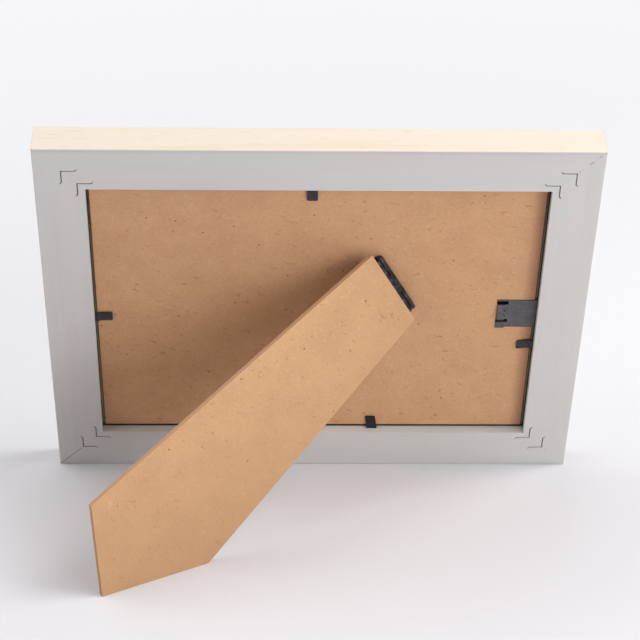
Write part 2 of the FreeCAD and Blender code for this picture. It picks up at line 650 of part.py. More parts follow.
def make_tab(doc, side):
    """Free part of a retaining tab, stepped down towards the board."""
    name = side + "_tab"
    body = new_body(doc, name)
    half = "sizes.tab_width / 2"
    skew = "sizes.%s_tab_skew" % side
    near = "(sizes.tab_sheet / 2 + sizes.bend_clearance)"
    far = "(sizes.%s_tab_reach - sizes.bend_offset)" % side
    cut = "sizes.tab_chamfer"
    plan = [
        ("-" + half, near),
        (half, near),
        ("%s + %s" % (half, skew), "%s - %s" % (far, cut)),
        ("%s - %s + %s" % (half, cut, skew), far),
        ("-%s + %s + %s" % (half, cut, skew), far),
        ("-%s + %s" % (half, skew), "%s - %s" % (far, cut)),
    ]
    top = [("Base.z", "-sizes.tab_sheet / 2")]
    strip = new_sketch(body, name + "_plan", "XZ_Plane", [plan], offset=top)
    extrude(body, "Pad", name + "_strip", strip, "sizes.tab_sheet + sizes.tab_drop")
    land = "(%s + sizes.bend_land)" % near
    flat = "(%s + sizes.bend_run)" % land
    upper = "sizes.tab_sheet / 2"
    lower = "-sizes.tab_sheet / 2"
    above = [
        (upper + " + sizes.overrun", land), (upper, land), (upper + " - sizes.tab_drop", flat),
        (upper + " - sizes.tab_drop", far + " + sizes.overrun"),
        (upper + " + sizes.overrun", far + " + sizes.overrun"),
    ]
    under = [
        (lower, near + " - sizes.overrun"), (lower, land), (lower + " - sizes.tab_drop", flat),
        (lower + " - sizes.tab_drop - sizes.overrun", flat),
        (lower + " - sizes.tab_drop - sizes.overrun", near + " - sizes.overrun"),
    ]
    step = new_sketch(body, name + "_step_profile", "YZ_Plane", [above, under])
    extrude(body, "Pocket", name + "_step", step, "2 * (sizes.tab_width + %s)" % skew, both=True)
    return body


def turned_place(x, y, z, turn):
    """A placement turned about Y, in degrees."""
    return FreeCAD.Placement(FreeCAD.Vector(x, y, z), FreeCAD.Rotation(FreeCAD.Vector(0, 1, 0), turn))


def standing_place(size):
    """Leans the upright frame back onto its strut and centres it on the table."""
    lean = FreeCAD.Placement(FreeCAD.Vector(), FreeCAD.Rotation(FreeCAD.Vector(1, 0, 0), -size["lean_back"]))
    strut = strut_place(size, size["strut_opening"])
    side_foot = FreeCAD.Vector(size["side_foot_across"], size["side_foot_along"], 0)
    backs = []
    for foot in (strut_tip(size), side_foot):
        for thickness in (0, size["strut_thickness"]):
            corner = foot + FreeCAD.Vector(0, 0, size["barrel_radius"] + thickness)
            backs.append(lean.multVec(strut.multVec(corner)).y)
    rounding = FreeCAD.Vector(0, size["outer_round"] - size["frame_depth"], size["outer_round"])
    front = lean.multVec(rounding).y - size["outer_round"]
    lift = edge_lift(size, math.radians(size["lean_back"]))
    lean.Base = FreeCAD.Vector(0, -(front + max(backs)) / 2, -lift)
    return lean


def check(doc, parts):
    """Stops on a failed feature, a cut that removes nothing, or a broken solid."""
    for item in doc.Objects:
        if "Invalid" in item.State or "Error" in item.State:
            raise ValueError("%s failed" % item.Label)
        if item.TypeId == "PartDesign::Pocket":
            if not item.Shape.Volume < item.BaseFeature.Shape.Volume:
                raise ValueError("%s cuts nothing" % item.Label)
    for part in parts:
        if part.Shape.isNull() or not part.Shape.isValid() or not part.Shape.Solids:
            raise ValueError("%s has no valid solid" % part.Label)


def main():
    size = {name: value for name, value, meaning in DIMENSIONS}
    add_derived(size)
    doc = FreeCAD.newDocument("photo_frame")
    write_sheet(doc, size, {name: meaning for name, value, meaning in DIMENSIONS})
    stand = standing_place(size)
    half_width = size["frame_width"] / 2
    half_height = size["frame_height"] / 2
    parts = []

    def seat(part, place):
        part.Placement = stand.multiply(place)
        parts.append(part)

    # Outside edge's middle and turn of each rail.
    rails = {
        "bottom": ("sizes.frame_width", turned_place(0, 0, 0, 0)),
        "right": ("sizes.frame_height", turned_place(half_width, 0, half_height, -90)),
        "top": ("sizes.frame_width", turned_place(0, 0, size["frame_height"], 180)),
        "left": ("sizes.frame_height", turned_place(-half_width, 0, half_height, 90)),
    }
    for side, (length, place) in rails.items():
        seat(make_rail(doc, side, length), place)
        tab_depth = size["tab_rise"] - size["recess"]
        at_bend = FreeCAD.Vector(size[side + "_tab_place"], tab_depth, size["back_width"] + size["bend_offset"])
        bend = place.multiply(FreeCAD.Placement(at_bend, FreeCAD.Rotation()))
        seat(make_tab_root(doc, side), bend)
        seat(make_tab(doc, side), bend)
        axis = stand.multiply(bend).Rotation.multVec(FreeCAD.Vector(-1, 0, 0))
        print(side, "tab bend", stand.multVec(bend.Base), axis)

    corners = {
        "bottom_left": (-1, 0, 0),
        "bottom_right": (1, 0, -90),
        "top_right": (1, 1, 180),
        "top_left": (-1, 1, 90),
    }
    for corner, (side, upper, turn) in corners.items():
        for row in ("outer", "inner"):
            inset = size[row + "_nail_inset"]
            x = side * (half_width - inset)
            z = size["frame_height"] - inset if upper else inset
            name = "%s_%s_nail" % (corner, row)
            seat(make_nail(doc, name), turned_place(x, -size["nail_sink"], z, turn))

    behind_lip = size["lip_thickness"] - size["frame_depth"]
    behind_glazing = behind_lip + size["glazing_thickness"]
    seat(make_sheet(doc, "glazing", "glazing"), turned_place(0, behind_glazing, half_height, 0))
    behind_card = behind_glazing + size["card_thickness"]
    seat(make_sheet(doc, "picture_card", "card"), turned_place(0, behind_card, half_height, 0))
    board = make_sheet(doc, "backing_board", "board")
    cut_board_slots(board)
    seat(board, turned_place(0, -size["recess"], half_height, 0))
    board_edge = -size["board_width"] / 2
    hanger_height = half_height + size["hanger_up"]
    seat(make_hanger(doc), turned_place(board_edge, -size["recess"], hanger_height, 0))

    closed = strut_place(size, 0)
    opened = strut_place(size, size["strut_opening"])
    seat(make_board_leaf(doc), closed)
    seat(make_pin(doc), closed)
    seat(make_strut_leaf(doc), opened)
    seat(make_strut(doc), opened)
    print("strut hinge", stand.multVec(opened.Base), stand.multiply(opened).Rotation.multVec(FreeCAD.Vector(1, 0, 0)))
    print("lean back", size["lean_back"], "portrait lean", size["portrait_lean"])

    doc.recompute()
    check(doc, parts)
    os.makedirs("parts", exist_ok=True)
    for part in parts:
        part.Shape.exportStep("parts/%s.step" % part.Label)
    print(len(parts), "sub-parts")


main()
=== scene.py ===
import json
import math

import bmesh
import bpy
from mathutils import Matrix, Vector


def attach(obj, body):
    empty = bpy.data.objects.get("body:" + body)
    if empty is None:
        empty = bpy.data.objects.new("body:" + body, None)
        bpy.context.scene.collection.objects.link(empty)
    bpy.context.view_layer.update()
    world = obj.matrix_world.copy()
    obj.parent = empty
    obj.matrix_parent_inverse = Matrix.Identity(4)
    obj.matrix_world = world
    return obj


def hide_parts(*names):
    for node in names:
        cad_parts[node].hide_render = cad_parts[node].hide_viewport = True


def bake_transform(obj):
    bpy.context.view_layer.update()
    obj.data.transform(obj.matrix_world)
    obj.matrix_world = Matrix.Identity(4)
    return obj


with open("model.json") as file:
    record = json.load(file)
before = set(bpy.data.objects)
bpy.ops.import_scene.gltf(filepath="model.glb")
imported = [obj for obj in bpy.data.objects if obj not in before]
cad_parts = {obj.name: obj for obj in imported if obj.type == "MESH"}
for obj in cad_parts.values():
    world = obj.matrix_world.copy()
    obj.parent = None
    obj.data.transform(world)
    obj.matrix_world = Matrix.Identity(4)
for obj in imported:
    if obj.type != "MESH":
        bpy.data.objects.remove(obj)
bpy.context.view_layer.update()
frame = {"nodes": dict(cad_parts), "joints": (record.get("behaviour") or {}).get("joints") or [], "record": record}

MM = 0.001

# The camera, as the photograph was taken.
CAMERA_PLACE = (0.01940, 0.73527, 0.39729)
CAMERA_TURN = (67.3109, -0.7356, 178.7242)
CAMERA_LENS = 112.03
SENSOR = 36.0

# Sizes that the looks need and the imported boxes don't give.
BACK_WIDTH = 19.6 * MM
BACK_ROUND = 0.5 * MM
RIM_GAP = 0.45 * MM
BARE_STRIP = 0.53 * MM
NAIL_INSET = 10.65 * MM
WALL_START = (0.3 * MM, 0.1 * MM)
WALL_SHADE_REACH = (1.5 * MM, 6.5 * MM)
HOLLOW_MARGIN = (0.1 * MM, 0.35 * MM)
MITRE_HALF_WIDTH = (0.1 * MM, 0.26 * MM)
STRUT_FOOT_REACH = (-0.02, 0.12)


# The upright frame: X to the right from the front, Y to the back from the back face, Z up.

def find_upright():
    """The frame's lean, from the mount on its back, and its back lower corner."""
    mounts = {mount["name"]: mount for mount in frame["record"]["mounts"]}
    axis = Vector(mounts["back_face"]["axis"])
    lean = math.atan2(-axis.z, axis.y)
    turn = Matrix.Rotation(lean, 3, "X")
    points = [turn @ vertex.co for vertex in frame["nodes"]["bottom_rail"].data.vertices]
    corner = Vector((0, max(point.y for point in points), min(point.z for point in points)))
    return lean, turn.inverted() @ corner


LEAN, HEEL = find_upright()
UPRIGHT = Matrix.Translation(HEEL) @ Matrix.Rotation(-LEAN, 4, "X")
TO_UPRIGHT = UPRIGHT.inverted()


def upright_box(node):
    """Lowest and highest corner of a CAD node in the upright frame."""
    points = [TO_UPRIGHT @ vertex.co for vertex in frame["nodes"][node].data.vertices]
    low = Vector([min(point[axis] for point in points) for axis in range(3)])
    high = Vector([max(point[axis] for point in points) for axis in range(3)])
    return low, high


HALF_WIDTH = upright_box("top_rail")[1].x
HEIGHT = upright_box("top_rail")[1].z
BOARD_FACE = upright_box("backing_board")[1].y


# Materials

def tone(red, green, blue):
    """Linear colour from the 0 to 255 values that it should render as."""
    linear = []
    for value in (red, green, blue):
        share = value / 255
        linear.append(share / 12.92 if share <= 0.04045 else ((share + 0.055) / 1.055) ** 2.4)
    return (*linear, 1.0)


class Surface:
    """One material's nodes. Each method adds a node and gives its output."""

    def __init__(self, name, roughness=0.6, **sockets):
        self.material = bpy.data.materials.new(name)
        self.material.use_nodes = True
        self.nodes = self.material.node_tree.nodes
        self.links = self.material.node_tree.links
        self.nodes.clear()
        self.shader = self.nodes.new("ShaderNodeBsdfPrincipled")
        self.output = self.nodes.new("ShaderNodeOutputMaterial")
        self.links.new(self.shader.outputs["BSDF"], self.output.inputs["Surface"])
        self.shader.inputs["Roughness"].default_value = roughness
        for socket, value in sockets.items():
            self.shader.inputs[socket.replace("_", " ")].default_value = value
        self.place = self.upright_place()

    def put(self, socket, value):
        if isinstance(value, bpy.types.NodeSocket):
            self.links.new(value, socket)
        else:
            socket.default_value = value

    def upright_place(self):
        """Where a point is in the upright frame, in metres."""
        coordinates = self.nodes.new("ShaderNodeTexCoord")
        mapping = self.nodes.new("ShaderNodeMapping")
        mapping.vector_type = "TEXTURE"
        mapping.inputs["Location"].default_value = HEEL
        mapping.inputs["Rotation"].default_value = (-LEAN, 0, 0)
        self.links.new(coordinates.outputs["Object"], mapping.inputs["Vector"])
        return mapping.outputs["Vector"]

    def facing(self, direction):
        """1 where the surface faces along a row frame direction or against it, 0 where it is square to it."""
        coordinates = self.nodes.new("ShaderNodeTexCoord")
        product = self.nodes.new("ShaderNodeVectorMath")
        product.operation = "DOT_PRODUCT"
        self.links.new(coordinates.outputs["Normal"], product.inputs[0])
        product.inputs[1].default_value = direction
        return self.math("ABSOLUTE", product.outputs["Value"])

    def split(self, vector):
        node = self.nodes.new("ShaderNodeSeparateXYZ")
        self.put(node.inputs[0], vector)
        return node.outputs["X"], node.outputs["Y"], node.outputs["Z"]

    def join(self, x, y=0.0, z=0.0):
        node = self.nodes.new("ShaderNodeCombineXYZ")
        for socket, value in zip(node.inputs, (x, y, z)):
            self.put(socket, value)
        return node.outputs[0]

    def math(self, operation, first, second=0.0):
        node = self.nodes.new("ShaderNodeMath")
        node.operation = operation
        self.put(node.inputs[0], first)
        self.put(node.inputs[1], second)
        return node.outputs[0]

    def times(self, *factors):
        result = factors[0]
        for factor in factors[1:]:
            result = self.math("MULTIPLY", result, factor)
        return result

    def step(self, value, low, high, start=0.0, end=1.0):
        """Smooth step from start at low to end at high."""
        node = self.nodes.new("ShaderNodeMapRange")
        node.interpolation_type = "SMOOTHSTEP"
        for socket, setting in zip(node.inputs, (value, low, high, start, end)):
            self.put(socket, setting)
        return node.outputs[0]

    def mix(self, share, first, second):
        node = self.nodes.new("ShaderNodeMix")
        node.data_type = "RGBA"
        self.put(node.inputs["Factor"], share)
        self.put(node.inputs[6], first)
        self.put(node.inputs[7], second)
        return node.outputs[2]

    def stretch(self, scale, turn=(0, 0, 0)):
        """The upright place turned, in degrees, and then scaled to cells per metre."""
        turned = self.nodes.new("ShaderNodeVectorRotate")
        turned.rotation_type = "EULER_XYZ"
        self.put(turned.inputs["Vector"], self.place)
        turned.inputs["Rotation"].default_value = [math.radians(angle) for angle in turn]
        scaled = self.nodes.new("ShaderNodeVectorMath")
        scaled.operation = "MULTIPLY"
        self.put(scaled.inputs[0], turned.outputs[0])
        scaled.inputs[1].default_value = scale
        return scaled.outputs[0]

    def noise(self, vector, scale=1.0, detail=2.0, roughness=0.5, distortion=0.0):
        node = self.nodes.new("ShaderNodeTexNoise")
        self.put(node.inputs["Vector"], vector)
        node.inputs["Scale"].default_value = scale
        node.inputs["Detail"].default_value = detail
        node.inputs["Roughness"].default_value = roughness
        node.inputs["Distortion"].default_value = distortion
        return node.outputs["Fac"]

    def specks(self, turn, scale, radius, kept):
        """Round specks of that radius in cells, at the kept share of points scattered over the back."""
        x, _, z = self.split(self.stretch((1, 1, 1), (0, turn, 0)))
        node = self.nodes.new("ShaderNodeTexVoronoi")
        node.voronoi_dimensions = "2D"
        self.put(node.inputs["Vector"], self.join(x, z))
        node.inputs["Scale"].default_value = scale
        number = self.nodes.new("ShaderNodeSeparateColor")
        self.put(number.inputs[0], node.outputs["Color"])
        chosen = self.math("LESS_THAN", number.outputs[0], kept)
        return self.times(chosen, self.step(node.outputs["Distance"], radius * 0.6, radius, 1.0, 0.0))

    def bump(self, height, distance, strength=1.0):
        node = self.nodes.new("ShaderNodeBump")
        node.inputs["Distance"].default_value = distance
        node.inputs["Strength"].default_value = strength
        self.put(node.inputs["Height"], height)
        self.links.new(node.outputs[0], self.shader.inputs["Normal"])

    def colour(self, value):
        self.put(self.shader.inputs["Base Color"], value)

    def rough(self, value):
        self.put(self.shader.inputs["Roughness"], value)


WOOD = tone(213, 201, 187)
WOOD_STREAK = tone(211, 194, 167)
WOOD_PORE = tone(190, 166, 134)
PAINT = tone(202, 198, 195)
PAINT_COOL = tone(198, 197, 196)
PAINT_DARK = tone(194, 189, 185)
PAINT_RIM = tone(132, 116, 104)
# Bare wood at the top edge of the back, painted paler as a highlight for a rounded edge lit from above.
BARE_WOOD_HIGHLIGHT = tone(230, 219, 205)
# Painted shade: the rebate walls go this dark next to the board.
REBATE_WALL_SHADE = tone(44, 35, 30)
MITRE_LINE = tone(78, 66, 58)
MITRE_SHARE_OUTSIDE = (0.22, 0.22, 0.22, 1.0)


def rail_wood(name, along):
    """Pale wood with its grain along the rail, painted grey on the back and just inside the rebate.

    The paint leaves a thin strip of wood bare along the top edge of the back, coloured paler than the wood as a
    painted highlight for a rounded edge lit from above. Deeper in the rebate the walls are painted dark next to
    the board, as painted shade.
    """
    surface = Surface(name, Specular_IOR_Level=0.35)

    def grain(lengthwise, across):
        scale = [across, across, across]
        scale["XYZ".index(along)] = lengthwise
        return surface.stretch(scale)

    streak = surface.noise(grain(7, 170), detail=4, roughness=0.6, distortion=0.3)
    fine = surface.noise(grain(40, 1500), detail=2)
    wood = surface.mix(surface.step(streak, 0.42, 0.72, 0.0, 0.75), WOOD, WOOD_STREAK)
    pores = surface.step(surface.noise(grain(110, 1700), detail=1), 0.66, 0.74, 0.0, 0.4)
    wood = surface.mix(pores, wood, WOOD_PORE)

    brushed = surface.noise(grain(5, 420), detail=3, roughness=0.6)
    paint = surface.mix(surface.step(brushed, 0.35, 0.65), PAINT, PAINT_COOL)
    shade = surface.noise(grain(9, 130), detail=3)
    paint = surface.mix(surface.step(shade, 0.45, 0.75, 0.0, 0.35), paint, PAINT_DARK)

    x, y, z = surface.split(surface.place)
    from_side = surface.math("SUBTRACT", HALF_WIDTH, surface.math("ABSOLUTE", x))
    level = surface.math("ABSOLUTE", surface.math("SUBTRACT", z, HEIGHT / 2))
    from_end = surface.math("SUBTRACT", HEIGHT / 2, level)
    back = surface.step(y, -BACK_ROUND * 0.45, -BACK_ROUND * 0.15)
    nearest = surface.math("MINIMUM", from_side, from_end)
    inside = surface.step(nearest, BACK_WIDTH - WALL_START[0], BACK_WIDTH - WALL_START[1])
    inside = surface.times(inside, surface.step(y, BOARD_FACE * 1.5, BOARD_FACE * 1.2))
    # Painted shade in the rebate: the walls darken towards the board, from just above the board's face on the
    # upright rails and from about the board's face down on the top and bottom rails.
    deep_share, shallow_share = (0.85, 0.62) if along == "Z" else (1.15, 0.9)
    wall = surface.mix(surface.step(y, BOARD_FACE * deep_share, BOARD_FACE * shallow_share), REBATE_WALL_SHADE, paint)
    from_top = surface.math("SUBTRACT", HEIGHT, z)
    # Bare wood strip along the top edge, in a paler tone that paints the highlight of a rounded edge.
    bare = surface.step(from_top, BARE_STRIP * 0.4, BARE_STRIP * 1.6, 1.0, 0.0)
    rim = surface.step(from_top, BARE_STRIP * 1.5, BARE_STRIP * 5.0, 0.14, 0.0)
    colour = surface.mix(inside, wood, wall)
    colour = surface.mix(back, colour, surface.mix(rim, paint, PAINT_RIM))
    colour = surface.mix(surface.times(bare, surface.step(y, -BACK_ROUND, 0.0)), colour, BARE_WOOD_HIGHLIGHT)

    off_line = surface.math("ABSOLUTE", surface.math("SUBTRACT", from_side, from_end))
    line = surface.step(off_line, *MITRE_HALF_WIDTH, 1.0, 0.0)
    dashes = surface.step(surface.noise(surface.place, 420, detail=2), 0.47, 0.55)
    specks = surface.step(surface.noise(surface.place, 700, detail=1), 0.58, 0.66, 0.0, 0.6)
    right = surface.math("GREATER_THAN", x, 0.0)
    upper = surface.math("GREATER_THAN", z, HEIGHT / 2)
    open_share = surface.times(right, surface.math("SUBTRACT", 1.0, upper), 0.9)
    dashed_share = surface.times(surface.math("SUBTRACT", 1.0, right), upper, dashes)
    near_corner = surface.step(from_side, NAIL_INSET * 0.85, NAIL_INSET, 1.0, 0.12)
    shown = surface.math("MAXIMUM", open_share, dashed_share)
    shown = surface.math("MAXIMUM", shown, surface.times(specks, 0.5))
    shown = surface.mix(surface.step(y, -BACK_ROUND * 2, -BACK_ROUND), MITRE_SHARE_OUTSIDE, shown)
    colour = surface.mix(surface.times(line, shown, near_corner), colour, MITRE_LINE)
    surface.colour(colour)
    surface.rough(surface.step(fine, 0.3, 0.7, 0.52, 0.66))
    surface.bump(surface.math("ADD", fine, surface.times(streak, 0.5)), 0.04 * MM, 0.6)
    return surface.material


BOARD = tone(202, 157, 118)
BOARD_LIGHT = tone(212, 170, 132)
BOARD_DARK = tone(187, 140, 102)
BOARD_EDGE = tone(150, 104, 72)
STRUT = tone(194, 153, 113)
STRUT_LIGHT = tone(203, 164, 124)
STRUT_DARK = tone(176, 135, 98)
STRUT_EDGE = tone(188, 145, 110)
# Painted shade: the strut's tone at its foot, where the light falls off near the floor.
STRUT_FOOT_SHADE = tone(164, 126, 92)
FIBRE_LIGHT = tone(214, 176, 138)
SPECK = tone(95, 62, 42)
# Painted shade for the board: a shadow band beside its -X wall, and near-black for the shadow in the gap round the
# board and in the hanger's slots.
WALL_SHADE = tone(166, 116, 92)
HOLLOW_SHADE = tone(16, 13, 12)


def inwards_of(surface, node):
    """How far a point is inside a CAD node's -X edge, and inside the nearest of its four edges."""
    x, _, z = surface.split(surface.place)
    low, high = upright_box(node)
    from_low = surface.math("SUBTRACT", x, low.x)
    nearest = surface.math("MINIMUM", from_low, surface.math("SUBTRACT", high.x, x))
    nearest = surface.math("MINIMUM", nearest, surface.math("SUBTRACT", z, low.z))
    return from_low, surface.math("MINIMUM", nearest, surface.math("SUBTRACT", high.z, z))


def board_painted_shade(surface, colour):
    """Paints shade onto the board: a near-black line round its rim for the shadowed gap, a shadow band beside its
    -X wall, and near-black under the hanger's openings, where the slots lie in deep shadow.
    """
    from_low, nearest = inwards_of(surface, "backing_board")
    colour = surface.mix(surface.step(from_low, *WALL_SHADE_REACH, 0.55, 0.0), colour, WALL_SHADE)
    colour = surface.mix(surface.step(nearest, RIM_GAP * 0.5, RIM_GAP, 0.9, 0.0), colour, HOLLOW_SHADE)
    under_hanger = inwards_of(surface, "hanger_plate")[1]
    return surface.mix(surface.step(under_hanger, *HOLLOW_MARGIN), colour, HOLLOW_SHADE)


def hardboard(name, face, light, dark, edge, normal, seed, board=False):
    """Pressed fibre board: clouded colour, short fibres, pale flecks and a few dark specks."""
    surface = Surface(name, roughness=0.78, Specular_IOR_Level=0.25)
    cloud = surface.noise(surface.stretch((70, 70, 70), (0, seed, 0)), detail=4, roughness=0.6)
    grains = surface.noise(surface.stretch((900, 900, 900), (0, seed, 0)), detail=3, roughness=0.7)
    colour = surface.mix(surface.step(cloud, 0.35, 0.7, 0.1, 0.5), face, dark)
    colour = surface.mix(surface.step(grains, 0.5, 0.75, 0.0, 0.6), colour, light)
    colour = surface.mix(surface.step(grains, 0.28, 0.42, 0.5, 0.0), colour, dark)
    fibres = None
    for turn in (seed, seed + 55, seed - 50):
        layer = surface.noise(surface.stretch((170, 900, 1100), (0, turn, 0)), detail=1, distortion=0.6)
        layer = surface.step(layer, 0.66, 0.76)
        fibres = layer if fibres is None else surface.math("MAXIMUM", fibres, layer)
    colour = surface.mix(surface.times(fibres, 0.22), colour, FIBRE_LIGHT)
    fleck_layers = ((seed + 20, 0.5, BOARD_EDGE), (seed - 25, 0.35, FIBRE_LIGHT), (seed + 80, 0.4, dark))
    for turn, share, tint in fleck_layers:
        flecks = surface.noise(surface.stretch((300, 520, 640), (0, turn, 0)), detail=1, distortion=0.9)
        colour = surface.mix(surface.step(flecks, 0.68, 0.75, 0.0, share), colour, tint)
    colour = surface.mix(surface.times(surface.specks(seed, 90, 0.042, 0.15), 0.75), colour, SPECK)
    colour = surface.mix(surface.times(surface.specks(seed + 31, 290, 0.1, 0.04), 0.55), colour, SPECK)
    colour = surface.mix(surface.times(surface.specks(seed + 67, 250, 0.13, 0.035), 0.3), colour, FIBRE_LIGHT)
    cut = surface.step(surface.facing(normal), 0.3, 0.7, 1.0, 0.0)
    colour = surface.mix(cut, colour, edge)
    # The board gets painted shade at its rim, beside its -X wall and under the hanger.
    if board:
        colour = board_painted_shade(surface, colour)
    else:
        # Painted shade: the strut darkens towards its foot.
        height = surface.split(surface.place)[2]
        colour = surface.mix(surface.step(height, *STRUT_FOOT_REACH, 0.9, 0.0), colour, STRUT_FOOT_SHADE)
    surface.colour(colour)
    surface.bump(surface.math("ADD", grains, fibres), 0.05 * MM, 0.5)
    return surface.material


def steel(name, face, worn, roughness, metallic):
    """Blackened sheet steel with faint scuffs."""
    surface = Surface(name, Metallic=metallic)
    cloud = surface.noise(surface.stretch((260, 260, 260)), detail=4, roughness=0.65)
    scuffs = surface.noise(surface.stretch((180, 1800, 900), (0, 35, 0)), detail=2)
    colour = surface.mix(surface.step(cloud, 0.4, 0.7, 0.0, 0.6), face, worn)
    colour = surface.mix(surface.step(scuffs, 0.64, 0.74, 0.0, 0.5), colour, worn)
    surface.colour(colour)
    surface.rough(surface.step(cloud, 0.3, 0.7, roughness, roughness + 0.18))
    surface.bump(cloud, 0.02 * MM, 0.5)
    return surface.material


def card_paper():
    surface = Surface("picture_card_paper", roughness=0.85, Specular_IOR_Level=0.2)
    fibres = surface.noise(surface.stretch((500, 500, 500)), detail=4, roughness=0.7)
    surface.colour(surface.mix(surface.step(fibres, 0.35, 0.65), tone(240, 239, 235), tone(234, 232, 227)))
    surface.bump(fibres, 0.02 * MM, 0.4)
    return surface.material


def clear_glass():
    surface = Surface("clear_glass", roughness=0.02, IOR=1.5, Alpha=0.25)
    cast = surface.noise(surface.stretch((12, 12, 12)), detail=1)
    surface.colour(surface.mix(cast, tone(236, 241, 239), tone(240, 243, 241)))
    return surface.material


def dress(node, material):
    """Gives a CAD node its material."""
    materials = frame["nodes"][node].data.materials
    materials.clear()
    materials.append(material)


def strut_normal():
    """Direction out of the strut's flat faces, from its largest polygon."""
    polygons = frame["nodes"]["strut"].data.polygons
    return max(polygons, key=lambda polygon: polygon.area).normal.copy()


BACK_NORMAL = UPRIGHT.to_3x3() @ Vector((0, 1, 0))

length_wood = rail_wood("rail_wood_lengthwise", "X")
upright_wood = rail_wood("rail_wood_upright", "Z")
for side in ("top", "bottom"):
    dress(side + "_rail", length_wood)
for side in ("left", "right"):
    dress(side + "_rail", upright_wood)
board_tones = (BOARD, BOARD_LIGHT, BOARD_DARK, BOARD_EDGE)
dress("backing_board", hardboard("board_fibre", *board_tones, BACK_NORMAL, 0, board=True))
strut_tones = (STRUT, STRUT_LIGHT, STRUT_DARK, STRUT_EDGE)
dress("strut", hardboard("strut_fibre", *strut_tones, strut_normal(), 17))
black_steel = steel("black_steel", tone(84, 82, 86), tone(108, 107, 114), 0.42, 0.35)
hinge_steel = steel("hinge_steel", tone(26, 25, 28), tone(96, 95, 104), 0.27, 0.6)
# Painted shade: a darker copy of the tab steel for the bottom tab, which lies in the strut's shadow.
shaded_tab_steel = steel("tab_steel_painted_shade", tone(6, 5, 7), tone(18, 16, 20), 0.6, 0.0)
tab_steel = steel("tab_steel", tone(40, 37, 44), tone(60, 58, 67), 0.42, 0.2)
nail_steel = steel("nail_steel", tone(84, 74, 68), tone(128, 118, 110), 0.5, 0.6)
dress("hanger_plate", black_steel)
for node in ("hinge_board_leaf", "hinge_strut_leaf", "hinge_pin"):
    dress(node, hinge_steel)
for side in ("top", "bottom", "left", "right"):
    dress(side + "_tab", tab_steel)
    dress(side + "_tab_root", tab_steel)
for corner in ("top_left", "top_right", "bottom_left", "bottom_right"):
    for row in ("outer", "inner"):
        dress("%s_%s_nail" % (corner, row), nail_steel)
dress("picture_card", card_paper())
glass = clear_glass()
dress("glazing", glass)


# Glass pane, with its cut edges softened and a hair's width clear of the card behind it.

PANE_GAP = 0.05 * MM
PANE_BEVEL = 0.25 * MM


def make_pane():
    low, high = upright_box("glazing")
    mesh = bmesh.new()
    bmesh.ops.create_cube(mesh, size=1.0)
    size = high - low - Vector((PANE_GAP, PANE_GAP, PANE_GAP)) * 2
    bmesh.ops.scale(mesh, vec=size, verts=mesh.verts)
    bmesh.ops.bevel(mesh, geom=mesh.edges[:], offset=PANE_BEVEL, segments=2, profile=0.5, affect="EDGES")
    mesh.transform(UPRIGHT @ Matrix.Translation((low + high) / 2))
    data = bpy.data.meshes.new("glass_pane")
    mesh.to_mesh(data)
    mesh.free()
    data.materials.append(glass)
    pane = bpy.data.objects.new("glass_pane", data)
    bpy.context.scene.collection.objects.link(pane)
    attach(pane, "frame")
    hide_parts("glazing")


make_pane()


# Retaining tabs. Each is one strip of soft steel, from its point in the rail to its free end.

BEND_REACH = 0.55 * MM
CORNER_STEPS = 3
CORNER_SHARE = 0.4
BEND_STEPS = 12
TIP_STEPS = 5


def rounded_section(half_width, half_sheet):
    """Points round a flat bar's section, with its corners rounded."""
    radius = half_sheet * CORNER_SHARE
    points = []
    for across, up, start in ((1, 1, 0), (-1, 1, 90), (-1, -1, 180), (1, -1, 270)):
        for step in range(CORNER_STEPS + 1):
            angle = math.radians(start + 90 * step / CORNER_STEPS)
            x = across * (half_width - radius) + radius * math.cos(angle)
            y = up * (half_sheet - radius) + radius * math.sin(angle)
            points.append((x, y))
    return points


